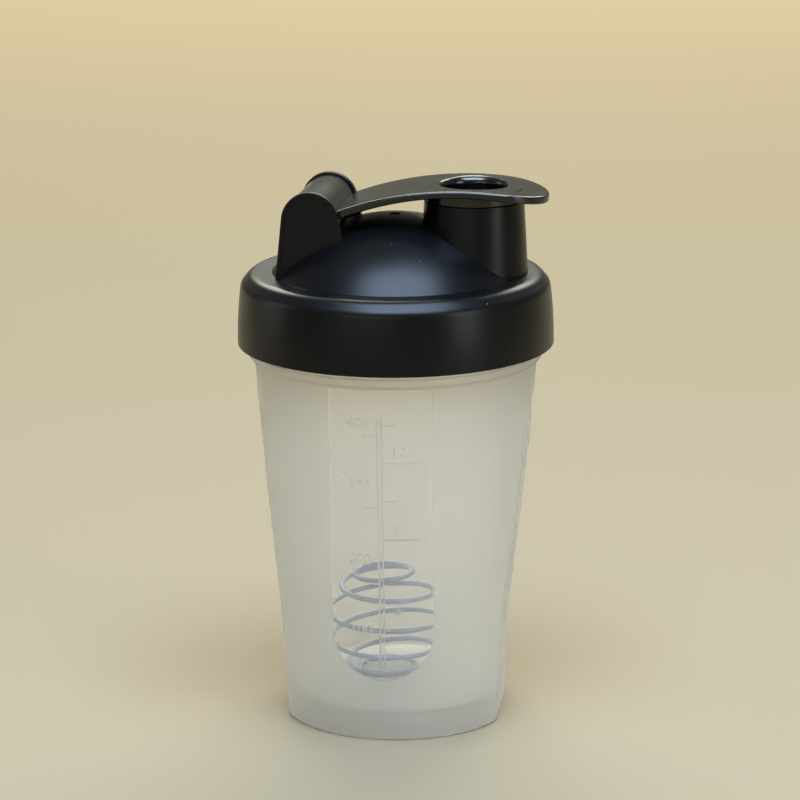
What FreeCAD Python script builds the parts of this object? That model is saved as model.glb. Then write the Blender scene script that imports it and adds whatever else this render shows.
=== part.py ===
import FreeCAD, Part
import math
import os

# Protein shaker bottle, in millimetres. +Z is up, the origin is the centre of the foot on the table.
# The spout and the flip cap's tab point to +X, the hinge lies towards -X, the clear strip faces -Y.

# ---- cup ----
FOOT_R = 36.4             # outer radius at the table
WALL_TAPER = 0.0658       # outward lean of the wall, mm per mm of height
BODY_H = 114.5            # height of the step under the neck
WALL = 1.5
FLOOR_TOP = 8.5           # inside floor above the table
FLOOR_T = 2.0
FLOOR_ROUND = 2.0         # inside corner between floor and wall
FOOT_RING_T = 2.4         # thickness of the ring that the cup stands on
FOOT_ROUND = 1.0
FLAT_FOOT = FOOT_R - 3.2  # distance of the grip flats from the axis at the table
FLAT_BEND_Z = 30.0        # height at which the flats bend outwards
FLAT_BEND = FOOT_R - 2.3  # distance of the flats there
FLAT_TOP_Z = BODY_H - 11.5  # height at which the flats end
FLAT_STEP = 0.35          # ledge at the top end of a flat
FLAT_BEND_R = 120.0
RIB_COUNT = 4             # raised ribs on each flat
RIB_W = 1.3
RIB_PROUD = 0.5
RIB_PITCH_TOP = 3.6
RIB_PITCH_LOW = 4.4
RIB_LOW_Z = FLAT_BEND_Z + 4.0
RIB_TOP_Z = FLAT_TOP_Z - 9.0
NECK_R = FOOT_R + WALL_TAPER * BODY_H + 1.07
NECK_WALL = 1.8
NECK_H = 23.1             # from the step to the mouth
MOUTH_Z = BODY_H + NECK_H
COLLAR_R = NECK_R + 0.45  # narrow collar below the lid
COLLAR_H = 2.6
COLLAR_ROUND = 0.3
CUP_TURN = 2.0            # degrees by which the seated lid stops short of the cup's own middle plane
MARK_PROUD = 0.3          # how far the graduations stand out of the wall
MARK_W = 0.7
LONG_MARK = 11.5
SHORT_MARK = 4.5
RAIL_GAP = 1.3            # between the two lines of the upright of the scale
RAIL_SPARE_TOP = 2.0      # how far the upright runs on past the outermost marks
RAIL_SPARE_LOW = 3.0
OUNCE_LONG = (0.576, 0.791)         # heights of the marks as shares of the body's height
OUNCE_SHORT = (0.447, 0.685, 0.895)
MILLI = (0.227, 0.452, 0.666, 0.867)

# ---- screw thread between cup and lid ----
LEAD = 5.0                # rise per turn
THREAD_TURNS = 1.6
THREAD_Z = BODY_H + 8.0   # where the cup's thread starts
THREAD_PROUD = 1.3
THREAD_ROOT_T = 2.0       # axial thickness where the thread leaves the wall
THREAD_CREST_T = 0.9
THREAD_SINK = 0.4         # how deep the thread is rooted in its wall
THREAD_GAP = 0.3          # axial gap between the two threads
THREAD_SIDE_GAP = 0.5     # from a crest to the wall that it faces

# ---- lid gasket ----
GASKET_T = 1.4
GASKET_ROUND = 0.3
GASKET_GAP = 0.1

# ---- lid ----
LID_WALL = 2.4
LID_TOP_T = 2.2           # plate over the cup's mouth
LID_CROWN = 120.0         # radius of the skirt's slight outward bow
RIM_Z = BODY_H + 4.2      # lowest edge of the skirt
RIM_IN = 0.1              # how far the rim lies in from the skirt's nominal radius
BOW_OUT = 0.05            # how far the bow's knee stands out from it, and the knee's height above the rim
BOW_H = 8.8
SHOULDER_FALL = 3.4       # how far below the shoulder the skirt's side ends, and how far in
SHOULDER_LEAN = 1.25
RIM_ROUND = 1.2
CEILING_Z = MOUTH_Z + GASKET_T
SHOULDER_Z = CEILING_Z + LID_TOP_T  # flat shoulder round the dome
SHOULDER_IN = 4.4         # how far in from the skirt the shoulder starts
SHOULDER_ROUND = 3.5
THREAD_RELIEF = 2.0       # height of the narrower bore round the cup's mouth
RELIEF_ROUND = 1.0
DOME_R = NECK_R - 6.7     # foot of the dome
DOME_TOP = SHOULDER_Z + 17.8
DOME_WALL = 1.8
GATE_R = 1.7              # dimple at the crown left by the injection gate
GATE_DEEP = 1.0
LIP_T = 1.5               # ring that reaches into the cup's mouth
LIP_GAP = 0.5             # between that ring and the cup
LIP_H = 4.0

# ---- spout ----
SPOUT_X = DOME_R - 13.7
SPOUT_TOP_Z = DOME_TOP + 5.0
SPOUT_R_TOP = 15.4
SPOUT_R_LOW = SPOUT_R_TOP + 1.2
SPOUT_LOW_Z = SHOULDER_Z - 0.2
SPOUT_BORE = SPOUT_R_TOP - 2.0

# ---- hinge ----
HINGE_X = 14.8 - DOME_R
HINGE_Z = DOME_TOP + 0.5
EAR_R = 8.8
EAR_OUT = SPOUT_R_TOP + 3.2  # outer face of an ear from the middle plane
EAR_T = 2.3
EAR_RIM = 1.0             # width of the raised edge round an ear's outer face
EAR_DISH = 0.4            # how deep the face lies below that edge
EAR_DISH_FOOT = 3.5       # height above the shoulder at which the dished face starts
EAR_BACK_LEAN = 6.0       # degrees from upright of the ear's two straight sides
EAR_FRONT_LEAN = 13.0
BARREL_R = EAR_R - 0.6
HINGE_GAP = 0.25          # between barrel and ears, on each side
CRADLE_GAP = 0.35         # between the barrel and the trough in the dome under it
CRADLE_WALL = 1.5         # wall round that trough, inside the dome
STUB_R = 2.5
STUB_L = 1.5
STUB_FIT = 0.06           # running clearance of a stub in its hole
STUB_END_GAP = 0.15

# ---- flip cap ----
ARM_BOW_R = 108.0         # radius of the arm's bowed top face
ARM_CROWN_X = SPOUT_X - 2.1  # highest point of that face
ARM_CROWN_Z = SPOUT_TOP_Z + 5.25
ARM_ROOT_X = HINGE_X + 7.0  # where the arm leaves the barrel
ARM_ROOT_T = 2.9          # thickness there, at the middle and at the tip
ARM_MID_X = SPOUT_X - 9.6
ARM_MID_T = 2.2
ARM_TIP_T = 2.6
TAB_TIP_X = SPOUT_X + SPOUT_R_TOP + 7.65
ARM_EDGE = 0.6            # rounding of the plate's edges
PLUG_TOP_R = SPOUT_BORE - 0.4
PLUG_LOW_R = PLUG_TOP_R - 1.4
PLUG_LOW_Z = SPOUT_TOP_Z - 5.4
PLUG_ROUND = 0.8
PLUG_WALL = 1.6
DISH_R = PLUG_LOW_R - PLUG_WALL  # round recess over the plug
DISH_FLOOR_Z = PLUG_LOW_Z + PLUG_WALL
DISH_FLOOR_ROUND = 1.0
DISH_MOUTH_ROUND = 2.1
SEAT_R = SPOUT_R_TOP - 0.3  # ring under the plate that sits on the spout
SEAT_GAP = 0.15

# ---- whisk ball ----
WIRE_D = 1.6
BALL_R = 18.2             # sphere on which the wire's centre line lies
END_LOOP_R = BALL_R / 2
END_LOOP_TURNS = 1.2
BODY_TURNS = 4.0
POINTS_PER_TURN = 16      # points that the wire's line is drawn through
WIRE_START = 59.0         # direction of the wire's lower end, in degrees from +X
BALL_LEAN = 2.5           # degrees by which the ball's top leans towards -X
BALL_REST_GAP = 0.05      # between the lowest loop and the floor
BALL_X = -4.95
BALL_Y = 6.3

UP = FreeCAD.Vector(0, 0, 1)
FAR = 200.0               # beyond the whole bottle
SPARE = 1.0               # how far a cut runs on into the open
SINK = 0.5                # how deep one form is rooted in the next
HAIR = 0.05
EDGE_ROUND = 0.3


# ---- helpers ----
def turned_place(x, z):
    """A point of an outline in the YZ plane, which is turned about Z."""
    return FreeCAD.Vector(0, x, z)


def rounded_outline(corners, place):
    """Closed wire through corners (a, b, radius), each corner rounded by a tangent arc."""
    count = len(corners)
    joints = []
    for i, (a, b, radius) in enumerate(corners):
        here = FreeCAD.Vector(a, b, 0)
        before = FreeCAD.Vector(*corners[i - 1][:2], 0) - here
        after = FreeCAD.Vector(*corners[(i + 1) % count][:2], 0) - here
        if radius == 0:
            joints.append((here, here, here))
            continue
        half = before.getAngle(after) / 2
        before.normalize()
        after.normalize()
        back = radius / math.tan(half)
        middle = before + after
        middle.normalize()
        deep = radius / math.sin(half) - radius
        joints.append((here + before * back, here + middle * deep, here + after * back))
    edges = []
    for i, (first, middle, last) in enumerate(joints):
        points = [place(p.x, p.y) for p in (first, middle, last)]
        if (first - last).Length > 1e-6:
            edges.append(Part.Arc(*points).toShape())
        ahead = joints[(i + 1) % count][0]
        if (ahead - last).Length > 1e-6:
            edges.append(Part.LineSegment(points[2], place(ahead.x, ahead.y)).toShape())
    return Part.Wire(edges)


def turned(corners):
    """Solid of revolution about Z of an outline given as (radius, height, rounding), its seam at +Y."""
    face = Part.Face(rounded_outline(corners, turned_place))
    return face.revolve(FreeCAD.Vector(0, 0, 0), UP, 360)


def disc(radius, low, high, x=0.0, y=0.0):
    return Part.makeCylinder(radius, high - low, FreeCAD.Vector(x, y, low))


def level_ball(radius, z):
    """Ball on Z whose poles and seam lie in its level middle plane, clear of all cuts from its top."""
    ball = Part.makeSphere(radius)
    ball.rotate(FreeCAD.Vector(0, 0, 0), FreeCAD.Vector(1, 0, 0), 90)
    ball.translate(FreeCAD.Vector(0, 0, z))
    return ball


def cross_pin(radius, y_from, y_to):
    """Cylinder on the hinge axis."""
    start = FreeCAD.Vector(HINGE_X, y_from, HINGE_Z)
    return Part.makeCylinder(radius, y_to - y_from, start, FreeCAD.Vector(0, 1, 0))


def side_prism(corners, half_width):
    """Outline in the XZ plane made as thick as twice half_width about the middle plane."""
    def place(x, z):
        return FreeCAD.Vector(x, -half_width, z)
    face = Part.Face(rounded_outline(corners, place))
    return face.extrude(FreeCAD.Vector(0, 2 * half_width, 0))


def thread(wall_r, outward, z_start):
    """One right-hand helical thread rooted in a wall, outward from it (+1) or inward (-1)."""
    helix = Part.makeHelix(LEAD, LEAD * THREAD_TURNS, wall_r)
    root = wall_r - outward * THREAD_SINK
    crest = wall_r + outward * THREAD_PROUD
    corners = [
        (root, -THREAD_ROOT_T / 2), (crest, -THREAD_CREST_T / 2),
        (crest, THREAD_CREST_T / 2), (root, THREAD_ROOT_T / 2),
    ]
    points = [FreeCAD.Vector(r, 0, z) for r, z in corners]
    section = Part.makePolygon(points + points[:1])
    ridge = Part.Wire(helix.Edges).makePipeShell([section], True, True)
    ridge.translate(FreeCAD.Vector(0, 0, z_start))
    return ridge


# ---- cup ----
def wall_radius(z):
    return FOOT_R + WALL_TAPER * z


def flat_distance(z):
    """Distance from the axis to a grip flat above its bend."""
    top = wall_radius(FLAT_TOP_Z) - FLAT_STEP
    lean = (top - FLAT_BEND) / (FLAT_TOP_Z - FLAT_BEND_Z)
    return FLAT_BEND + lean * (z - FLAT_BEND_Z)


def flats(inset, low, foot_round):
    """Block that trims the round cup to its two grip flats."""
    top = flat_distance(FLAT_TOP_Z) - inset
    right = [
        (FLAT_FOOT - inset, low, foot_round),
        (FLAT_BEND - inset, FLAT_BEND_Z, FLAT_BEND_R),
        (top, FLAT_TOP_Z, 0),
        (FAR, FLAT_TOP_Z, 0),
        (FAR, FAR, 0),
    ]
    left = [(-x, z, r) for x, z, r in reversed(right)]
    return side_prism(right + left, FAR / 2)


def cup_outside():
    cone = turned([
        (0, 0, 0),
        (FOOT_R, 0, FOOT_ROUND),
        (wall_radius(BODY_H), BODY_H, 0),
        (0, BODY_H, 0),
    ])
    body = cone.common(flats(0, 0, FOOT_ROUND))
    root = BODY_H - SINK
    neck = turned([
        (0, root, 0),
        (wall_radius(root) - HAIR, root, 0),
        (COLLAR_R, BODY_H, COLLAR_ROUND),
        (COLLAR_R, BODY_H + COLLAR_H, EDGE_ROUND),
        (NECK_R, BODY_H + COLLAR_H, 0),
        (NECK_R, MOUTH_Z, EDGE_ROUND),
        (0, MOUTH_Z, 0),
    ])
    return body.fuse(neck)


def cup_inside():
    neck_bore = NECK_R - NECK_WALL
    cone = turned([
        (0, FLOOR_TOP, 0),
        (wall_radius(FLOOR_TOP) - WALL, FLOOR_TOP, FLOOR_ROUND),
        (wall_radius(BODY_H) - WALL, BODY_H, 0),
        (neck_bore, BODY_H + COLLAR_H, 0),
        (neck_bore, MOUTH_Z + SPARE, 0),
        (0, MOUTH_Z + SPARE, 0),
    ])
    return cone.common(flats(WALL, 0, 0))


def foot_recess():
    """Hollow under the floor, inside the ring that the cup stands on."""
    cone = turned([
        (0, -SPARE, 0),
        (FOOT_R - FOOT_RING_T, -SPARE, 0),
        (FOOT_R - FOOT_RING_T, FLOOR_TOP - FLOOR_T, FOOT_ROUND),
        (0, FLOOR_TOP - FLOOR_T, 0),
    ])
    return cone.common(flats(FOOT_RING_T, -2 * SPARE, 0))


def grip_ribs():
    """Upright round ribs on both flats, standing closer together towards the top."""
    ribs = []
    for side in (1, -1):
        for i in range(RIB_COUNT):
            step = i - (RIB_COUNT - 1) / 2
            ends = []
            for z, pitch in ((RIB_LOW_Z, RIB_PITCH_LOW), (RIB_TOP_Z, RIB_PITCH_TOP)):
                x = flat_distance(z) - RIB_W / 2 + RIB_PROUD
                ends.append(FreeCAD.Vector(side * x, step * pitch, z))
            low, top = ends
            rib = Part.makeCylinder(RIB_W / 2, (top - low).Length, low, top - low)
            ribs.append(rib.multiFuse([Part.makeSphere(RIB_W / 2, end) for end in ends]))
    return ribs


def mark_band():
    """Thin shell on the round wall from which the graduations are cut."""
    def layer(offset):
        top = BODY_H - SPARE
        return turned([
            (0, SPARE, 0),
            (wall_radius(SPARE) + offset, SPARE, 0),
            (wall_radius(top) + offset, top, 0),
            (0, top, 0),
        ])
    return layer(MARK_PROUD).cut(layer(-MARK_PROUD))


def graduations():
    """Upright double line with ounce marks to its right and millilitre marks to its left."""
    def bar(x_low, x_high, z_low, z_high):
        return Part.makeBox(x_high - x_low, FAR, z_high - z_low, FreeCAD.Vector(x_low, -FAR, z_low))
    rail = RAIL_GAP / 2
    half = MARK_W / 2
    low = BODY_H * MILLI[0] - RAIL_SPARE_LOW
    high = BODY_H * OUNCE_SHORT[-1] + RAIL_SPARE_TOP
    bars = [bar(side * rail - half, side * rail + half, low, high) for side in (-1, 1)]
    marks = [(rail, rail + LONG_MARK, share) for share in OUNCE_LONG]
    marks += [(rail, rail + SHORT_MARK, share) for share in OUNCE_SHORT]
    marks += [(-rail - SHORT_MARK, -rail, share) for share in MILLI]
    for x_low, x_high, share in marks:
        bars.append(bar(x_low, x_high, BODY_H * share - half, BODY_H * share + half))
    return bars[0].multiFuse(bars[1:]).common(mark_band())


def make_cup():
    cup = cup_outside().cut(cup_inside()).cut(foot_recess())
    cup = cup.multiFuse(grip_ribs())
    cup = cup.fuse(graduations())
    cup = cup.fuse(thread(NECK_R, 1, THREAD_Z))
    cup.rotate(FreeCAD.Vector(0, 0, 0), UP, CUP_TURN)
    return cup


# ---- lid ----
def dome_ball_r():
    """Radius of the sphere that rises from the dome's foot to its top."""
    rise = DOME_TOP - SHOULDER_Z
    return (DOME_R ** 2 + rise ** 2) / (2 * rise)


def lid_cavity():
    """Everything inside the lid: the threaded skirt, the flat ceiling and the hollow of the dome."""
    inner = skirt_bore()
    skirt = turned([
        (0, RIM_Z - SPARE, 0),
        (inner, RIM_Z - SPARE, 0),
        (inner, THREAD_Z + LEAD * THREAD_TURNS + THREAD_ROOT_T, RELIEF_ROUND),
        (ceiling_bore(), MOUTH_Z - THREAD_RELIEF, RELIEF_ROUND),
        (ceiling_bore(), CEILING_Z, EDGE_ROUND),
        (0, CEILING_Z, 0),
    ])
    ball_r = dome_ball_r()
    hollow = level_ball(ball_r - DOME_WALL, DOME_TOP - ball_r)
    hollow = hollow.common(disc(FAR, CEILING_Z - SPARE, FAR))
    half = ear_inside() + CRADLE_WALL
    trough = cross_pin(BARREL_R + CRADLE_GAP + CRADLE_WALL, -half, half)
    return skirt.fuse(hollow.cut(trough))


def skirt_bore():
    """Inner radius of the skirt, wide enough for the cup's thread."""
    return NECK_R + THREAD_PROUD + THREAD_SIDE_GAP


def ceiling_bore():
    """Inner radius above the thread, where the gasket and the cup's mouth sit."""
    return NECK_R + THREAD_SIDE_GAP


def lid_shell():
    outer_r = skirt_bore() + LID_WALL
    body = turned([
        (0, RIM_Z, 0),
        (outer_r - RIM_IN, RIM_Z, RIM_ROUND),
        (outer_r + BOW_OUT, RIM_Z + BOW_H, LID_CROWN),
        (outer_r - SHOULDER_LEAN, SHOULDER_Z - SHOULDER_FALL, SHOULDER_ROUND),
        (outer_r - SHOULDER_IN, SHOULDER_Z, SHOULDER_ROUND),
        (0, SHOULDER_Z, 0),
    ])
    ball_r = dome_ball_r()
    cap = level_ball(ball_r, DOME_TOP - ball_r).common(disc(FAR, SHOULDER_Z - SINK, FAR))
    return body.fuse(cap)


def ear_inside():
    """Distance of an ear's inner face from the middle plane."""
    return EAR_OUT - EAR_T


def ear(side):
    """Upright lug beside the barrel: round top, two straight leaning sides, dished outer face."""
    def outline(radius, low):
        corners = []
        for lean, towards in ((EAR_FRONT_LEAN, 1), (EAR_BACK_LEAN, -1)):
            tilt = math.radians(lean)
            tangent = (HINGE_X + towards * radius * math.cos(tilt), HINGE_Z + radius * math.sin(tilt))
            run = (tangent[1] - low) * math.tan(tilt)
            corners.append((tangent, (tangent[0] + towards * run, low)))
        (front, front_low), (back, back_low) = corners
        crown = (HINGE_X, HINGE_Z + radius)
        points = [FreeCAD.Vector(x, 0, z) for x, z in (back_low, back, crown, front, front_low)]
        edges = [
            Part.LineSegment(points[0], points[1]).toShape(),
            Part.Arc(points[1], points[2], points[3]).toShape(),
            Part.LineSegment(points[3], points[4]).toShape(),
            Part.LineSegment(points[4], points[0]).toShape(),
        ]
        return Part.Face(Part.Wire(edges))
    lug = outline(EAR_R, SHOULDER_Z - SINK).extrude(FreeCAD.Vector(0, EAR_T, 0))
    dish = outline(EAR_R - EAR_RIM, SHOULDER_Z + EAR_DISH_FOOT)
    dish = dish.extrude(FreeCAD.Vector(0, EAR_DISH + SPARE, 0))
    dish.translate(FreeCAD.Vector(0, EAR_T - EAR_DISH, 0))
    lug = lug.cut(dish)
    lug.translate(FreeCAD.Vector(0, ear_inside(), 0))
    if side < 0:
        lug = lug.mirror(FreeCAD.Vector(0, 0, 0), FreeCAD.Vector(0, 1, 0))
    return lug


def spout_shell():
    foot = FreeCAD.Vector(SPOUT_X, 0, SPOUT_LOW_Z)
    return Part.makeCone(SPOUT_R_LOW, SPOUT_R_TOP, SPOUT_TOP_Z - SPOUT_LOW_Z, foot)


def make_lid():
    lid = lid_shell().multiFuse([spout_shell(), ear(1), ear(-1)])
    lid = lid.cut(lid_cavity())
    lid = lid.cut(disc(SPOUT_BORE, CEILING_Z - SPARE, SPOUT_TOP_Z + SPARE, SPOUT_X))
    lid = lid.cut(disc(GATE_R, DOME_TOP - GATE_DEEP, DOME_TOP + SPARE))
    lid = lid.cut(cross_pin(BARREL_R + CRADLE_GAP, -ear_inside(), ear_inside()))
    hole_end = barrel_half() + STUB_L + STUB_END_GAP
    lid = lid.cut(cross_pin(STUB_R + STUB_FIT, -hole_end, hole_end))
    lip_r = NECK_R - NECK_WALL - LIP_GAP
    lip = turned([
        (lip_r - LIP_T, CEILING_Z - LIP_H, EDGE_ROUND),
        (lip_r, CEILING_Z - LIP_H, EDGE_ROUND),
        (lip_r, CEILING_Z + SINK, 0),
        (lip_r - LIP_T, CEILING_Z + SINK, 0),
    ])
    lid = lid.fuse(lip)
    drop = THREAD_ROOT_T + THREAD_GAP + LEAD * CUP_TURN / 360
    return lid.fuse(thread(skirt_bore(), -1, THREAD_Z - drop))


# ---- lid gasket ----
def make_gasket():
    inner = NECK_R - NECK_WALL - LIP_GAP + GASKET_GAP
    outer = ceiling_bore() - GASKET_GAP
    return turned([
        (inner, MOUTH_Z, GASKET_ROUND),
        (outer, MOUTH_Z, GASKET_ROUND),
        (outer, CEILING_Z, GASKET_ROUND),
        (inner, CEILING_Z, GASKET_ROUND),
    ])


# ---- flip cap ----
def arm_top(x):
    """Height of the arm's bowed top face."""
    return ARM_CROWN_Z - ARM_BOW_R + math.sqrt(ARM_BOW_R ** 2 - (x - ARM_CROWN_X) ** 2)


def barrel_half():
    return ear_inside() - HINGE_GAP


def arm_plate():
    """Bowed strap as wide as the barrel, cut to a half-round end and rounded along its edges."""
    def through(points):
        return Part.Arc(*[FreeCAD.Vector(x, -FAR / 2, z) for x, z in points]).toShape()
    xs = (ARM_ROOT_X, ARM_MID_X, TAB_TIP_X + SPARE)
    top = through([(x, arm_top(x)) for x in xs])
    under = through([(x, arm_top(x) - t) for x, t in zip(xs, (ARM_ROOT_T, ARM_MID_T, ARM_TIP_T))])
    ends = [Part.LineSegment(top.Vertexes[i].Point, under.Vertexes[i].Point).toShape() for i in (0, 1)]
    strip = Part.Face(Part.Wire([top, ends[1], under, ends[0]]))
    strip = strip.extrude(FreeCAD.Vector(0, FAR, 0))
    half = barrel_half()
    low = DOME_TOP - SPARE
    straight = TAB_TIP_X - half
    corner = FreeCAD.Vector(ARM_ROOT_X - SPARE, -half, low)
    plan = Part.makeBox(straight - corner.x, 2 * half, FAR - low, corner)
    plan = plan.fuse(disc(half, low, FAR, straight)).removeSplitter()
    plate = strip.common(plan)
    rims = [e for e in plate.Edges if e.BoundBox.XMax > ARM_ROOT_X + SPARE and is_rim(e)]
    return plate.makeFillet(ARM_EDGE, rims)


def is_rim(edge):
    """True for the plate's top and bottom outline, not for its upright corners."""
    box = edge.BoundBox
    return box.XLength + box.YLength > box.ZLength


def plug_side():
    """Plug under the plate and its seat ring on the spout, turned about the spout's axis."""
    top = arm_top(SPOUT_X) - ARM_MID_T / 2
    plug = turned([
        (0, PLUG_LOW_Z, 0),
        (PLUG_LOW_R, PLUG_LOW_Z, PLUG_ROUND),
        (PLUG_TOP_R, SPOUT_TOP_Z - PLUG_ROUND, 0),
        (PLUG_TOP_R, top, 0),
        (0, top, 0),
    ])
    seat = turned([
        (0, SPOUT_TOP_Z + SEAT_GAP, 0),
        (SEAT_R, SPOUT_TOP_Z + SEAT_GAP, EDGE_ROUND),
        (SEAT_R, top, 0),
        (0, top, 0),
    ])
    shift = FreeCAD.Vector(SPOUT_X, 0, 0)
    plug.translate(shift)
    seat.translate(shift)
    return plug, seat


def recess():
    """Round hollow over the plug with a softly rounded mouth."""
    mouth_z = arm_top(SPOUT_X)
    edge = DISH_R + DISH_MOUTH_ROUND + SPARE
    hollow = turned([
        (0, DISH_FLOOR_Z, 0),
        (DISH_R, DISH_FLOOR_Z, DISH_FLOOR_ROUND),
        (DISH_R, mouth_z, DISH_MOUTH_ROUND),
        (edge, mouth_z, 0),
        (edge, mouth_z + SPARE, 0),
        (0, mouth_z + SPARE, 0),
    ])
    hollow.translate(FreeCAD.Vector(SPOUT_X, 0, 0))
    return hollow


def make_flip_cap():
    half = barrel_half()
    barrel = cross_pin(BARREL_R, -half, half)
    stubs = cross_pin(STUB_R, -half - STUB_L, half + STUB_L)
    plug, seat = plug_side()
    cap = arm_plate().multiFuse([barrel, stubs, plug, seat])
    return cap.cut(recess())


# ---- whisk ball ----
def make_whisk_ball():
    """One wire wound on a sphere from a small loop at the bottom to a small loop at the top."""
    end_angle = math.acos(END_LOOP_R / BALL_R)
    turns = BODY_TURNS + 2 * END_LOOP_TURNS
    points = []
    for i in range(round(turns * POINTS_PER_TURN) + 1):
        turn = i / POINTS_PER_TURN
        share = (turn - END_LOOP_TURNS) / BODY_TURNS
        lat = end_angle * max(-1.0, min(1.0, 2 * share - 1))
        around = math.radians(WIRE_START) - 2 * math.pi * turn
        points.append(FreeCAD.Vector(
            BALL_R * math.cos(lat) * math.cos(around),
            BALL_R * math.cos(lat) * math.sin(around),
            BALL_R * math.sin(lat)))
    lean = FreeCAD.Rotation(FreeCAD.Vector(0, -1, 0), BALL_LEAN)
    points = [lean.multVec(p) for p in points]
    line = Part.BSplineCurve()
    line.interpolate(points)
    path = Part.Wire([line.toShape()])
    start = line.value(line.FirstParameter)
    along = line.tangent(line.FirstParameter)[0]
    ring = Part.Wire([Part.makeCircle(WIRE_D / 2, start, along)])
    wire = path.makePipeShell([ring], True, True)
    height = FLOOR_TOP + BALL_REST_GAP + WIRE_D / 2 - min(p.z for p in points)
    wire.translate(FreeCAD.Vector(BALL_X, BALL_Y, height))
    return wire


def main():
    os.makedirs("parts", exist_ok=True)
    nodes = {
        "cup": make_cup(),
        "lid": make_lid(),
        "lid_gasket": make_gasket(),
        "flip_cap": make_flip_cap(),
        "whisk_ball": make_whisk_ball(),
    }
    for name, shape in nodes.items():
        print(name, "solids", len(shape.Solids), "valid", shape.isValid(), "volume", round(shape.Volume))
        shape.exportStep(os.path.join("parts", name + ".step"))


main()
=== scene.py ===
import math

import bmesh
import bpy
import numpy as np
from mathutils import Matrix, Vector


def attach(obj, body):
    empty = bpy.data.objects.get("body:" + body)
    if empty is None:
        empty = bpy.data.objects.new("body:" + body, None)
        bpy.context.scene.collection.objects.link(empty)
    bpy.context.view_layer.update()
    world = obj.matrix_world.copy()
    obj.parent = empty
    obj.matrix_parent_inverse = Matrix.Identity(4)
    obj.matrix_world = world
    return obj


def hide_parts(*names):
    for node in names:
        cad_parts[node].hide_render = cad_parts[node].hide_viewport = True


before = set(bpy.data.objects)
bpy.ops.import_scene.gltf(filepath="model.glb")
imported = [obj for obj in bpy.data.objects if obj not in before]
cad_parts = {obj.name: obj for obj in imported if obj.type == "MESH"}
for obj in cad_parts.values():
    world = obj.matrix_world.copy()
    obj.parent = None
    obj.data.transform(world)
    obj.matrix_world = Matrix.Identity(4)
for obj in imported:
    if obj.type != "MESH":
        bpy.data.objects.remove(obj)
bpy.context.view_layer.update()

MM = 0.001
TAU = 2 * math.pi

# ---- sizes of the cup, in millimetres ----
FOOT_R = 36.4
WALL_TAPER = 0.0658
BODY_H = 114.5
WALL = 1.5
FLOOR_TOP = 8.5
FLOOR_UNDER = 6.5
RING_T = 2.4
FLAT_FOOT, FLAT_BEND, FLAT_BEND_Z = 33.2, 34.1, 30.0
FLAT_TOP_Z = 103.0
FLAT_STEP = 0.35
NECK_R, NECK_WALL = 45.0, 1.8
COLLAR_R, COLLAR_H = 45.45, 2.6
MOUTH_Z = 137.6
CUP_TURN = math.radians(2.0)
RIB_COUNT, RIB_R, RIB_PROUD = 4, 0.65, 0.5
RIB_PITCH_LOW, RIB_PITCH_TOP = 4.4, 3.6
RIB_LOW_Z, RIB_TOP_Z = 34.0, 94.0
STRIP_HALF, STRIP_ARC_Z, STRIP_EDGE = 15.7, 35.6, 0.5
THREAD_LEAD, THREAD_TURNS, THREAD_Z = 5.0, 1.6, 122.5
THREAD_PROUD, THREAD_SINK, THREAD_ROOT_T, THREAD_CREST_T = 1.3, 0.1, 2.0, 0.9

# ---- the raised scale: heights of its marks and figures ----
MARK_PROUD, MARK_W, RAIL_GAP = 0.10, 0.55, 1.3
LONG_MARK, SHORT_MARK = 11.5, 4.5
OUNCE_LONG, OUNCE_SHORT = (66.0, 90.6), (51.2, 78.4, 102.5)
MILLI = (26.0, 51.8, 76.3, 99.3)
FIGURES = (
    ("400", -6.6, 102.9, 3.5), ("300", -6.6, 83.2, 3.5), ("200", -6.6, 59.5, 3.5), ("100", -6.6, 36.1, 3.5),
    ("12", 5.8, 94.0, 3.5), ("8", 4.8, 69.4, 3.5), ("4", 4.8, 42.2, 3.5))

# ---- sizes of the whisk ball ----
WIRE_R = 0.8
BALL_R = 18.2
END_LOOP_R = BALL_R / 2
END_TURNS, BODY_TURNS = 1.2, 4.0
WIRE_START, BALL_LEAN = math.radians(59.0), math.radians(2.5)
BALL_X, BALL_Y = -4.95, 6.3
BALL_GAP = 0.05

# ---- fineness of the meshes ----
CUP_STEP, CUP_ANGLES = 1.35, 376
THREAD_RINGS = 300
WIRE_RINGS, WIRE_SIDES, WIRE_CAP_RINGS = 1500, 20, 4


# ---- mesh helpers ----
def solid(name, points, quads, triangles=()):
    """Mesh object at the origin from points in millimetres and whole arrays of quads and triangles."""
    quads = np.asarray(quads, np.int64).reshape(-1, 4)
    triangles = np.asarray(triangles, np.int64).reshape(-1, 3)
    mesh = bpy.data.meshes.new(name)
    corners = np.concatenate([quads.ravel(), triangles.ravel()])
    sizes = np.concatenate([np.full(len(quads), 4), np.full(len(triangles), 3)])
    mesh.vertices.add(len(points))
    mesh.vertices.foreach_set("co", (np.asarray(points) * MM).astype(np.float32).ravel())
    mesh.loops.add(len(corners))
    mesh.loops.foreach_set("vertex_index", corners.astype(np.int32))
    mesh.polygons.add(len(sizes))
    starts = np.concatenate([[0], np.cumsum(sizes)[:-1]])
    mesh.polygons.foreach_set("loop_start", starts.astype(np.int32))
    mesh.polygons.foreach_set("loop_total", sizes.astype(np.int32))
    mesh.polygons.foreach_set("use_smooth", np.ones(len(sizes), bool))
    mesh.update(calc_edges=True)
    mesh.validate()
    obj = bpy.data.objects.new(name, mesh)
    bpy.context.scene.collection.objects.link(obj)
    return obj


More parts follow.
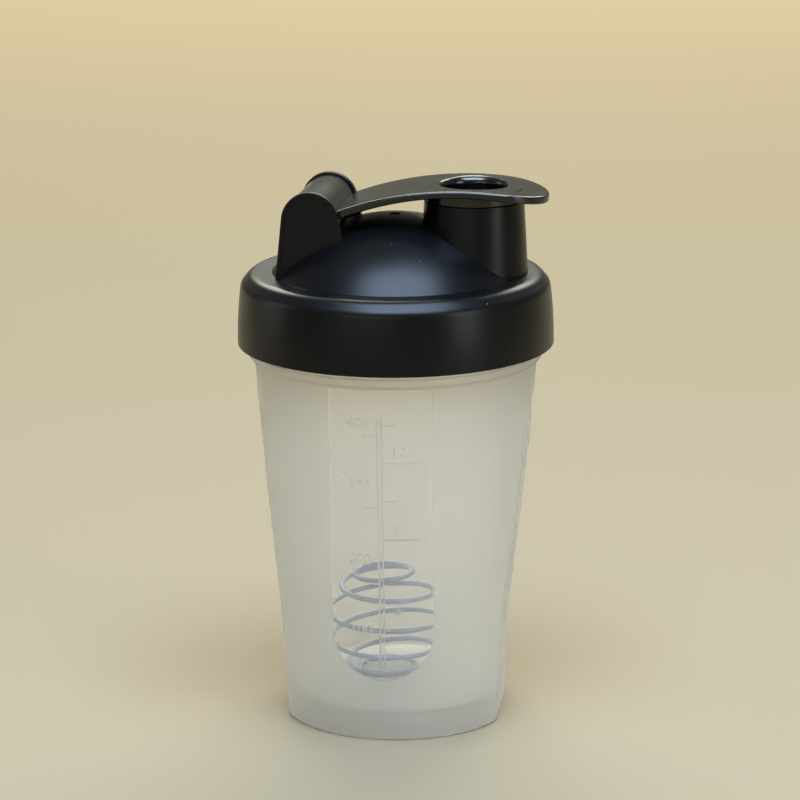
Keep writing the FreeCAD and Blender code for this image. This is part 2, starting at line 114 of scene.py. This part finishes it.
def grid_quads(rows, columns, wrap=True, first=0):
    """Quads of a grid of rows x columns points, the columns closed into rings when wrap is set."""
    i, j = np.meshgrid(np.arange(rows - 1), np.arange(columns if wrap else columns - 1), indexing="ij")
    k = (j + 1) % columns
    corner = [i * columns + j, i * columns + k, (i + 1) * columns + k, (i + 1) * columns + j]
    return first + np.stack(corner, -1).reshape(-1, 4)


def soft_min(a, b, k):
    """Smaller of two arrays, the corner between them eased over the width k."""
    h = np.clip(0.5 + 0.5 * (b - a) / k, 0, 1)
    return b * (1 - h) + a * h - k * h * (1 - h)


def rounded_path(corners, steps=5):
    """Path through corners (radius, height, rounding): each corner becomes an arc of that rounding."""
    path = []
    last = len(corners) - 1
    for i, (r, z, radius) in enumerate(corners):
        here = np.array([r, z], float)
        if radius == 0 or i in (0, last):
            path.append(here[None])
            continue
        before = np.array(corners[i - 1][:2], float) - here
        after = np.array(corners[i + 1][:2], float) - here
        before /= np.linalg.norm(before)
        after /= np.linalg.norm(after)
        half = math.acos(np.clip(before @ after, -1, 1)) / 2
        back = radius / math.tan(half)
        start, end = here + before * back, here + after * back
        middle = (before + after) / np.linalg.norm(before + after)
        centre = here + middle * radius / math.sin(half)
        t = np.linspace(0, 1, steps)[:, None]
        arm = (start - centre) * (1 - t) + (end - centre) * t
        path.append(centre + arm / np.linalg.norm(arm, axis=1, keepdims=True) * radius)
    return np.concatenate(path)


def finer(path, step):
    """The same path with points added so that no run is longer than step."""
    runs = np.linalg.norm(np.diff(path, axis=0), axis=1)
    counts = np.maximum(1, np.ceil(runs / step)).astype(int)
    parts = [a + (b - a) * np.arange(n)[:, None] / n for a, b, n in zip(path[:-1], path[1:], counts)]
    return np.concatenate(parts + [path[-1:]])


def capped(name, rings, poles):
    """Closed solid from a stack of rings, with a fan of triangles from each end ring to its own pole."""
    columns = rings.shape[1]
    points = rings.reshape(-1, 3)
    count = len(points)
    j = np.arange(columns)
    k = (j + 1) % columns
    last = count - columns
    fans = np.concatenate([
        np.stack([np.full(columns, count), k, j], -1),
        np.stack([np.full(columns, count + 1), last + j, last + k], -1)])
    return solid(name, np.concatenate([points, poles]), grid_quads(len(rings), columns), fans)


# ---- cup ----
def wall_radius(z):
    return FOOT_R + WALL_TAPER * z


def flat_distance(z):
    """Distance of the grip flats from the axis: two leaning lines that meet at the bend."""
    top = wall_radius(FLAT_TOP_Z) - FLAT_STEP
    foot_line = FLAT_FOOT + (FLAT_BEND - FLAT_FOOT) * z / FLAT_BEND_Z
    upper = FLAT_BEND + (top - FLAT_BEND) * (z - FLAT_BEND_Z) / (FLAT_TOP_Z - FLAT_BEND_Z)
    line = -soft_min(-foot_line, -upper, 0.8)
    return line + 8 * np.clip((z - FLAT_TOP_Z) / 0.5, 0, None)


def trimmed(radius, height, angle):
    """Radius of the wall at an angle: the smaller of the round cup and the flat in that direction."""
    inset = np.minimum(wall_radius(np.clip(height, 0, BODY_H)) - radius, 6.0)
    flat = (flat_distance(height) - inset) / np.maximum(np.abs(np.cos(angle)), 0.05)
    neck = np.clip((height - BODY_H + 1) / 0.8, 0, 1)
    return soft_min(radius, flat + 100 * neck, 0.9)


def rib_proud(angle, radius, height):
    """How far the grip ribs stand out: an arc across each rib, sunk to nothing past its two ends."""
    y = radius * np.sin(angle)
    share = np.clip((height - RIB_LOW_Z) / (RIB_TOP_Z - RIB_LOW_Z), 0, 1)
    pitch = RIB_PITCH_LOW + (RIB_PITCH_TOP - RIB_PITCH_LOW) * share
    end = np.maximum(RIB_LOW_Z - height, height - RIB_TOP_Z).clip(0, None)
    proud = np.zeros_like(y)
    for i in range(RIB_COUNT):
        off = np.hypot(y - (i - (RIB_COUNT - 1) / 2) * pitch, end) / RIB_R
        arc = RIB_R * np.sqrt(np.clip(1 - off ** 2, 0, 1)) - (RIB_R - RIB_PROUD)
        proud = np.maximum(proud, arc)
    return proud


def uneven_angles():
    """Angles round the cup, closer together on the two ribbed flats and along the flats' edges."""
    turn = np.linspace(0, TAU, 4096, endpoint=False)
    near = np.abs((turn + math.pi / 2) % math.pi - math.pi / 2)
    density = 1 + 4.2 * (near < 0.24) + 1.2 * (np.abs(near - 0.40) < 0.09)
    total = np.concatenate([[0], np.cumsum(density)])
    share = np.linspace(0, total[-1], CUP_ANGLES, endpoint=False)
    return np.interp(share, total, np.concatenate([turn, [TAU]]))


def cup_shell():
    """Closed wall carried round the axis: under the floor, foot ring, outside, mouth, inside and floor.
    Each ring's radius is the profile's radius trimmed by the flats, plus the ribs on the outside."""
    bore = NECK_R - NECK_WALL
    profile = rounded_path([
        (FOOT_R - RING_T - 0.01, FLOOR_UNDER, 0), (FOOT_R - RING_T, 0, 0.6), (FOOT_R, 0, 1.0),
        (wall_radius(BODY_H), BODY_H, 0), (COLLAR_R, BODY_H + 0.4, 0.35), (COLLAR_R, BODY_H + COLLAR_H, 0.3),
        (NECK_R, BODY_H + COLLAR_H, 0.25), (NECK_R, MOUTH_Z, 0.5), (bore, MOUTH_Z, 0.5),
        (bore, BODY_H + COLLAR_H, 1.5), (wall_radius(BODY_H) - WALL, BODY_H, 2.0),
        (wall_radius(FLOOR_TOP) - WALL, FLOOR_TOP, 2.4), (wall_radius(FLOOR_TOP) - WALL - 3.2, FLOOR_TOP, 0)])
    path = finer(profile, CUP_STEP)
    angle = uneven_angles()
    radius, a = np.meshgrid(path[:, 0], angle, indexing="ij")
    height = np.repeat(path[:, 1:], len(angle), axis=1)
    outside = np.arange(len(path)) < np.argmax(path[:, 1])
    r = trimmed(radius, height, a)
    r += rib_proud(a, r, height) * outside[:, None]
    inner = np.linspace(1, 0, 9)[1:-1, None, None]
    ring = np.stack([r * np.cos(a + CUP_TURN), r * np.sin(a + CUP_TURN), height], -1)
    shrink = np.array([1.0, 1.0, 0.0])
    low = (ring[:1] * (shrink * inner + (1 - shrink)))[::-1]
    top = ring[-1:] * (shrink * inner + (1 - shrink))
    poles = np.array([[0, 0, ring[0, 0, 2]], [0, 0, ring[-1, 0, 2]]])
    return capped("cup_shell", np.concatenate([low, ring, top]), poles)


def neck_thread():
    """Narrow-topped section carried up a right-hand helix round the neck, faded out at both ends."""
    section = rounded_path([
        (-THREAD_SINK, THREAD_ROOT_T / 2, 0), (THREAD_PROUD, THREAD_CREST_T / 2, 0.25),
        (THREAD_PROUD, -THREAD_CREST_T / 2, 0.25), (-THREAD_SINK, -THREAD_ROOT_T / 2, 0)])
    turn = np.linspace(0, THREAD_TURNS, THREAD_RINGS)[:, None]
    fade = np.clip(np.minimum(turn, THREAD_TURNS - turn) / 0.03, 0, 1)
    out = np.where(section[:, 0] > 0, section[:, 0] * fade, section[:, 0])
    angle = CUP_TURN + TAU * turn
    height = THREAD_Z + THREAD_LEAD * turn + section[:, 1]
    rings = np.stack([(NECK_R + out) * np.cos(angle), (NECK_R + out) * np.sin(angle), height], -1)
    return capped("neck_thread", rings, np.stack([rings[0].mean(0), rings[-1].mean(0)]))


# ---- raised scale on the front wall ----
def on_wall(across, height, proud):
    """Points on the front wall: across runs round it from the strip's middle, proud stands out of it."""
    radius = wall_radius(height)
    angle = CUP_TURN - math.pi / 2 + across / radius
    out = radius + proud
    return np.stack([out * np.cos(angle), out * np.sin(angle), height + 0 * across], -1)


def raised_bar(x_low, x_high, z_low, z_high):
    """Closed bar bent round the wall: a grid carried round its own section, narrower at its crest."""
    columns, rows = max(2, int((x_high - x_low) / 0.8) + 1), max(2, int((z_high - z_low) / 3) + 1)
    u, v = np.meshgrid(np.linspace(0, 1, rows), np.linspace(0, 1, columns), indexing="ij")
    layers = []
    for proud, inset in ((0.01, 0.0), (0.05, 0.06), (MARK_PROUD, 0.2)):
        x = x_low + inset + (x_high - x_low - 2 * inset) * v
        z = z_low + inset + (z_high - z_low - 2 * inset) * u
        layers.append(on_wall(x, z, proud))
    n = rows * columns
    ring = np.concatenate([
        np.arange(columns - 1), columns - 1 + columns * np.arange(rows - 1),
        n - 1 - np.arange(columns - 1), (n - columns) - columns * np.arange(rows - 1)])
    nxt = np.roll(ring, -1)
    sides = [
        np.stack([ring + k * n, nxt + k * n, nxt + (k + 1) * n, ring + (k + 1) * n], -1) for k in (0, 1)]
    sheet = grid_quads(rows, columns, wrap=False)
    quads = np.concatenate([sheet + 2 * n, sheet[:, ::-1], *sides])
    return np.concatenate(layers).reshape(-1, 3), quads


def raised_text(words, x, z, height):
    """Figures set flat, given their thickness, then bent round the wall as whole arrays."""
    curve = bpy.data.curves.new("figures", "FONT")
    curve.body = words
    curve.size = height * 1.38
    curve.align_x = "CENTER"
    curve.align_y = "CENTER"
    curve.extrude = 0.03
    curve.offset = 0.0
    curve.resolution_u = 3
    flat = bpy.data.objects.new("figures", curve)
    mesh = bpy.data.meshes.new_from_object(flat)
    work = bmesh.new()
    work.from_mesh(mesh)
    bmesh.ops.remove_doubles(work, verts=work.verts, dist=0.002)
    bmesh.ops.triangulate(work, faces=work.faces)
    bmesh.ops.recalc_face_normals(work, faces=work.faces)
    work.to_mesh(mesh)
    work.free()
    co = np.zeros(len(mesh.vertices) * 3)
    mesh.vertices.foreach_get("co", co)
    co = co.reshape(-1, 3)
    corners = np.zeros(len(mesh.polygons) * 3, np.int64)
    mesh.polygons.foreach_get("vertices", corners)
    points = on_wall(co[:, 0] + x, co[:, 1] + z, co[:, 2] + 0.04)
    bpy.data.objects.remove(flat)
    return points, corners.reshape(-1, 3)


def scale_marks():
    """Upright double line, ounce ticks to its right, millilitre ticks to its left and their figures."""
    rail, half = RAIL_GAP / 2, MARK_W / 2
    low, top = MILLI[0] - 3, OUNCE_SHORT[-1] + 2
    bars = [(side * rail - half, side * rail + half, low, top) for side in (-1, 1)]
    bars += [(rail + half, rail + LONG_MARK, z - half, z + half) for z in OUNCE_LONG]
    bars += [(rail + half, rail + SHORT_MARK, z - half, z + half) for z in OUNCE_SHORT]
    bars += [(-rail - SHORT_MARK, -rail - half, z - half, z + half) for z in MILLI]
    points, quads, triangles, count = [], [], [], 0
    for bar in bars:
        p, q = raised_bar(*bar)
        points.append(p)
        quads.append(q + count)
        count += len(p)
    for words, x, z, height in FIGURES:
        p, t = raised_text(words, x, z, height)
        points.append(p)
        triangles.append(t + count)
        count += len(p)
    return solid("scale_marks", np.concatenate(points), np.concatenate(quads), np.concatenate(triangles))


# ---- whisk ball ----
def wire_line(samples):
    """Line on a sphere: turns steadily while its latitude runs from a low ring to a high ring, then leans."""
    ring_lat = math.acos(END_LOOP_R / BALL_R)
    turn = np.linspace(0, BODY_TURNS + 2 * END_TURNS, samples)
    share = np.clip((turn - END_TURNS) / BODY_TURNS, 0, 1)
    lat = ring_lat * (2 * share - 1)
    around = WIRE_START - TAU * turn
    reach = BALL_R * np.cos(lat)
    x, y, z = reach * np.cos(around), reach * np.sin(around), BALL_R * np.sin(lat)
    c, s = math.cos(BALL_LEAN), math.sin(BALL_LEAN)
    x, z = x * c - z * s, x * s + z * c
    return np.stack([BALL_X + x, BALL_Y + y, FLOOR_TOP + BALL_GAP + WIRE_R + z - z.min()], -1)


def wire_ball():
    """Round tube carried along the wire's line, its two ends closed by half-round caps."""
    line = wire_line(WIRE_RINGS)
    along = np.gradient(line, axis=0)
    along /= np.linalg.norm(along, axis=1, keepdims=True)
    out = line - np.array([BALL_X, BALL_Y, line[:, 2].mean()])
    out -= along * np.sum(out * along, 1, keepdims=True)
    out /= np.linalg.norm(out, axis=1, keepdims=True)
    side = np.cross(along, out)
    cap = np.linspace(0, math.pi / 2, WIRE_CAP_RINGS + 2)[1:-1]
    centre = np.concatenate([
        line[:1] - along[:1] * WIRE_R * np.cos(cap)[:, None], line,
        line[-1:] + along[-1:] * WIRE_R * np.sin(cap)[:, None]])
    size = WIRE_R * np.concatenate([np.sin(cap), np.ones(len(line)), np.cos(cap)])[:, None, None]
    out = np.concatenate([
        np.repeat(out[:1], WIRE_CAP_RINGS, 0), out, np.repeat(out[-1:], WIRE_CAP_RINGS, 0)])
    side = np.concatenate([
        np.repeat(side[:1], WIRE_CAP_RINGS, 0), side, np.repeat(side[-1:], WIRE_CAP_RINGS, 0)])
    a = np.linspace(0, TAU, WIRE_SIDES, endpoint=False)[None, :, None]
    rings = centre[:, None] + size * (out[:, None] * np.cos(a) + side[:, None] * np.sin(a))
    return capped("wire_ball", rings, np.stack([line[0] - along[0] * WIRE_R, line[-1] + along[-1] * WIRE_R]))


# ---- materials ----
def material(name):
    mat = bpy.data.materials.new(name)
    mat.use_nodes = True
    tree = mat.node_tree
    return mat, tree, tree.nodes["Principled BSDF"]


def node(tree, kind, **values):
    new = tree.nodes.new(kind)
    for key, value in values.items():
        setattr(new, key, value)
    return new


def math_node(tree, operation, first, second=None, third=None, clamp=False):
    """Math node fed by numbers or sockets."""
    new = node(tree, "ShaderNodeMath", operation=operation, use_clamp=clamp)
    for slot, value in zip(new.inputs, (first, second, third)):
        if value is None:
            continue
        if isinstance(value, (int, float)):
            slot.default_value = value
        else:
            tree.links.new(value, slot)
    return new.outputs[0]


def group(name, inputs, outputs):
    """Shader node group with named sockets; returns its tree, its inputs and its output node."""
    tree = bpy.data.node_groups.new(name, "ShaderNodeTree")
    for label, value in inputs:
        tree.interface.new_socket(label, in_out="INPUT", socket_type="NodeSocketFloat").default_value = value
    for label in outputs:
        tree.interface.new_socket(label, in_out="OUTPUT", socket_type="NodeSocketFloat")
    return tree, tree.nodes.new("NodeGroupInput").outputs, tree.nodes.new("NodeGroupOutput").inputs


def moulded_surface_group():
    """Fine spark-eroded grain, slow cloudiness, sparse dust specks and faint upright rub lines."""
    tree, given, out = group(
        "moulded surface", (("Grain Scale", 3000.0), ("Dust Scale", 420.0), ("Dust Amount", 0.5)),
        ("Grain", "Cloud", "Dust", "Rub"))
    coords = node(tree, "ShaderNodeTexCoord").outputs["Object"]
    grain = node(tree, "ShaderNodeTexNoise")
    grain.inputs["Detail"].default_value = 3
    tree.links.new(coords, grain.inputs["Vector"])
    tree.links.new(given["Grain Scale"], grain.inputs["Scale"])
    tree.links.new(grain.outputs["Fac"], out["Grain"])
    cloud = node(tree, "ShaderNodeTexNoise")
    cloud.inputs["Scale"].default_value = 45
    cloud.inputs["Detail"].default_value = 5
    tree.links.new(coords, cloud.inputs["Vector"])
    tree.links.new(cloud.outputs["Fac"], out["Cloud"])
    cells = node(tree, "ShaderNodeTexVoronoi")
    tree.links.new(coords, cells.inputs["Vector"])
    tree.links.new(given["Dust Scale"], cells.inputs["Scale"])
    pick = node(tree, "ShaderNodeSeparateColor")
    tree.links.new(cells.outputs["Color"], pick.inputs[0])
    chance = math_node(tree, "MULTIPLY", pick.outputs[0], given["Dust Amount"])
    rare = math_node(tree, "GREATER_THAN", chance, 0.44)
    reach = math_node(tree, "MULTIPLY", pick.outputs[1], 0.09)
    dot = math_node(tree, "LESS_THAN", cells.outputs["Distance"], reach)
    tree.links.new(math_node(tree, "MULTIPLY", rare, dot), out["Dust"])
    stretch = node(tree, "ShaderNodeMapping")
    stretch.inputs["Scale"].default_value = (900, 900, 40)
    tree.links.new(coords, stretch.inputs["Vector"])
    lines = node(tree, "ShaderNodeTexNoise")
    lines.inputs["Scale"].default_value = 1
    tree.links.new(stretch.outputs[0], lines.inputs["Vector"])
    tree.links.new(math_node(tree, "MULTIPLY", lines.outputs["Fac"], cloud.outputs["Fac"]), out["Rub"])
    return tree


def moulded_surface(tree, grain_scale=3000.0, dust_scale=420.0, dust_amount=0.5):
    placed = node(tree, "ShaderNodeGroup", node_tree=MOULDED)
    placed.inputs["Grain Scale"].default_value = grain_scale
    placed.inputs["Dust Scale"].default_value = dust_scale
    placed.inputs["Dust Amount"].default_value = dust_amount
    return placed.outputs


def roughen(tree, shader, height, distance, strength=1.0):
    """Bump of the given depth in metres on the shader's normal."""
    bump = node(tree, "ShaderNodeBump")
    bump.inputs["Distance"].default_value = distance
    bump.inputs["Strength"].default_value = strength
    tree.links.new(height, bump.inputs["Height"])
    tree.links.new(bump.outputs[0], shader.inputs["Normal"])


def use(obj, mat):
    obj.data.materials.clear()
    obj.data.materials.append(mat)
    return obj


def clear_strip_mask(tree):
    """1 on the polished strip down the cup's front, 0 on the frosted wall: a tall half-round-ended outline."""
    coords = node(tree, "ShaderNodeTexCoord").outputs["Object"]
    turn = node(tree, "ShaderNodeVectorRotate", rotation_type="Z_AXIS")
    tree.links.new(coords, turn.inputs["Vector"])
    turn.inputs["Angle"].default_value = -CUP_TURN
    parts = node(tree, "ShaderNodeSeparateXYZ")
    tree.links.new(turn.outputs[0], parts.inputs[0])
    x, y, z = parts.outputs
    below = math_node(tree, "MAXIMUM", math_node(tree, "SUBTRACT", STRIP_ARC_Z * MM, z), 0.0)
    squares = math_node(tree, "ADD", math_node(tree, "POWER", x, 2.0), math_node(tree, "POWER", below, 2.0))
    reach = math_node(tree, "SQRT", squares)
    sharp = 1 / (STRIP_EDGE * MM)
    inside = math_node(tree, "MULTIPLY", math_node(tree, "SUBTRACT", STRIP_HALF * MM, reach), sharp)
    inside = math_node(tree, "ADD", inside, 0.5, clamp=True)
    front = math_node(tree, "MULTIPLY", y, -1 / (4 * MM), clamp=True)
    low = math_node(tree, "SUBTRACT", (BODY_H - 0.8) * MM, z)
    low = math_node(tree, "MULTIPLY", low, sharp, clamp=True)
    return math_node(tree, "MULTIPLY", math_node(tree, "MULTIPLY", inside, front), low)


def frosted_plastic():
    mat, tree, shader = material("frosted polypropylene")
    mask = clear_strip_mask(tree)
    shader.inputs["Transmission Weight"].default_value = 0.80
    shader.inputs["IOR"].default_value = 1.49
    surface = moulded_surface(tree, grain_scale=2500.0, dust_scale=300.0, dust_amount=0.47)
    rough = math_node(tree, "MULTIPLY_ADD", surface["Cloud"], 0.12, 0.5)
    rough = math_node(tree, "MULTIPLY_ADD", mask, math_node(tree, "SUBTRACT", 0.008, rough), rough)
    rough = math_node(tree, "MULTIPLY_ADD", surface["Dust"], 0.3, rough, clamp=True)
    tree.links.new(rough, shader.inputs["Roughness"])
    mix = node(tree, "ShaderNodeMix", data_type="RGBA")
    mix.inputs["A"].default_value = (0.995, 0.98, 0.94, 1)
    mix.inputs["B"].default_value = (0.99, 0.985, 0.97, 1)
    tree.links.new(mask, mix.inputs["Factor"])
    tree.links.new(mix.outputs["Result"], shader.inputs["Base Color"])
    frost = math_node(tree, "SUBTRACT", 1.0, mask)
    roughen(tree, shader, math_node(tree, "MULTIPLY", surface["Grain"], frost), 0.00003)
    return mat


def clear_plastic():
    mat, tree, shader = material("polished raised marks")
    surface = moulded_surface(tree, dust_amount=0.0)
    tree.links.new(math_node(tree, "MULTIPLY_ADD", surface["Cloud"], 0.04, 0.0), shader.inputs["Roughness"])
    shader.inputs["Base Color"].default_value = (0.99, 0.985, 0.97, 1)
    shader.inputs["Transmission Weight"].default_value = 0.95
    shader.inputs["IOR"].default_value = 1.15
    return mat


def black_plastic(name, tone, gloss, shine):
    mat, tree, shader = material(name)
    surface = moulded_surface(tree)
    mix = node(tree, "ShaderNodeMix", data_type="RGBA")
    mix.inputs["A"].default_value = (tone, tone, tone * 1.3, 1)
    mix.inputs["B"].default_value = (0.16, 0.16, 0.15, 1)
    tree.links.new(math_node(tree, "MULTIPLY", surface["Dust"], 0.8), mix.inputs["Factor"])
    tree.links.new(mix.outputs["Result"], shader.inputs["Base Color"])
    shader.inputs["IOR"].default_value = 1.5
    shader.inputs["Specular IOR Level"].default_value = shine
    rough = math_node(tree, "MULTIPLY_ADD", surface["Cloud"], 0.10, gloss)
    rough = math_node(tree, "MULTIPLY_ADD", surface["Rub"], 0.08, rough)
    rough = math_node(tree, "MULTIPLY_ADD", surface["Dust"], 0.4, rough, clamp=True)
    tree.links.new(rough, shader.inputs["Roughness"])
    roughen(tree, shader, math_node(tree, "ADD", surface["Grain"], surface["Dust"]), 0.00003, 0.75)
    return mat


def steel():
    mat, tree, shader = material("drawn steel wire")
    surface = moulded_surface(tree, grain_scale=1800.0, dust_amount=0.0)
    shader.inputs["Metallic"].default_value = 1.0
    shader.inputs["Base Color"].default_value = (0.17, 0.23, 0.35, 1)
    tree.links.new(math_node(tree, "MULTIPLY_ADD", surface["Rub"], 0.3, 0.12), shader.inputs["Roughness"])
    roughen(tree, shader, surface["Rub"], 0.00001)
    return mat


def silicone():
    mat, tree, shader = material("gasket silicone")
    surface = moulded_surface(tree, grain_scale=1500.0, dust_amount=0.46)
    shader.inputs["Base Color"].default_value = (0.75, 0.76, 0.76, 1)
    tree.links.new(math_node(tree, "MULTIPLY_ADD", surface["Cloud"], 0.2, 0.35), shader.inputs["Roughness"])
    roughen(tree, shader, surface["Grain"], 0.00002)
    return mat


def plain(name, colour, roughness):
    mat, _, shader = material(name)
    shader.inputs["Base Color"].default_value = (*colour, 1)
    shader.inputs["Roughness"].default_value = roughness
    shader.inputs["Specular IOR Level"].default_value = 0.2
    return mat


# ---- studio ----
def camera():
    """Camera a metre from the bottle's axis, nine degrees round from its front, looking a little down."""
    psi, pitch, yaw, roll = math.radians(9.0), 0.25095, 0.00119, -0.005413
    c, s = math.cos(psi), math.sin(psi)

    def turned(v):
        return np.array([v[0] * c - v[1] * s, v[0] * s + v[1] * c, v[2]])
    forward = np.array([math.sin(yaw) * math.cos(pitch), math.cos(yaw) * math.cos(pitch), -math.sin(pitch)])
    right = np.array([math.cos(yaw), -math.sin(yaw), 0])
    up = np.cross(right, forward)
    right, up = math.cos(roll) * right + math.sin(roll) * up, math.cos(roll) * up - math.sin(roll) * right
    data = bpy.data.cameras.new("camera")
    data.lens = 148.5
    data.clip_start = 0.05
    obj = bpy.data.objects.new("camera", data)
    bpy.context.scene.collection.objects.link(obj)
    axes = np.eye(4)
    axes[:3, 0], axes[:3, 1], axes[:3, 2] = turned(right), turned(up), -turned(forward)
    axes[:3, 3] = turned(np.array([0, -1.0, 0.35593]))
    obj.matrix_world = Matrix(axes.tolist())
    bpy.context.scene.camera = obj


def softbox(name, place, size, power, colour, aim):
    """Rectangular light that faces the point it is aimed at."""
    data = bpy.data.lights.new(name, "AREA")
    data.shape = "RECTANGLE"
    data.size, data.size_y = size
    data.energy = power
    data.color = colour
    obj = bpy.data.objects.new(name, data)
    bpy.context.scene.collection.objects.link(obj)
    obj.location = place
    obj.rotation_euler = (Vector(aim) - Vector(place)).to_track_quat("-Z", "Y").to_euler()
    return obj


CUP_MIDDLE = (0, 0, 0.09)
SOFTBOXES = (
    ("overhead softbox", (0.10, -0.35, 1.15), (0.9, 0.7), 30, (0.55, 0.74, 1.0), CUP_MIDDLE),
    ("backdrop light", (-0.3, 2.6, 2.0), (3.5, 2.0), 165, (0.97, 1.0, 0.86), (-0.3, 2.0, 0)),
    ("front panel", (-0.35, -1.5, 0.45), (1.2, 0.6), 3.0, (1.0, 0.93, 0.80), CUP_MIDDLE),
    ("right panel", (0.95, -0.55, 0.35), (0.35, 0.7), 3.0, (0.95, 0.97, 1.0), CUP_MIDDLE),
    ("left panel", (-1.1, 0.0, 0.35), (0.4, 0.7), 1.2, (0.92, 0.96, 1.0), CUP_MIDDLE))


def studio():
    """Plain pale floor, soft room light and the softboxes."""
    size = 6.0
    corners = np.array([[-size, -size, 0], [size, -size, 0], [size, size, 0], [-size, size, 0]]) / MM
    floor = solid("floor", corners, [[0, 1, 2, 3]])
    use(floor, plain("pale floor", (0.30, 0.235, 0.15), 0.8))
    world = bpy.data.worlds.new("soft room")
    world.use_nodes = True
    world.node_tree.nodes["Background"].inputs["Color"].default_value = (0.62, 0.60, 0.48, 1)
    world.node_tree.nodes["Background"].inputs["Strength"].default_value = 0.34
    bpy.context.scene.world = world
    bpy.context.scene.view_settings.view_transform = "Standard"
    for name, place, size, power, colour, aim in SOFTBOXES:
        softbox(name, place, size, power, colour, aim)


MOULDED = moulded_surface_group()
camera()
studio()

frosted = frosted_plastic()
cup = use(cup_shell(), frosted)
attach(cup, "cup")
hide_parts("cup")

thread = use(neck_thread(), frosted)
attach(thread, "cup")

marks = use(scale_marks(), clear_plastic())
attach(marks, "cup")

ball = use(wire_ball(), steel())
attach(ball, "whisk_ball")
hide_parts("whisk_ball")

use(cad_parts["lid"], black_plastic("black lid plastic", 0.002, 0.24, 0.22))
use(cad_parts["flip_cap"], black_plastic("black cap plastic", 0.002, 0.10, 0.62))
use(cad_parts["lid_gasket"], silicone())
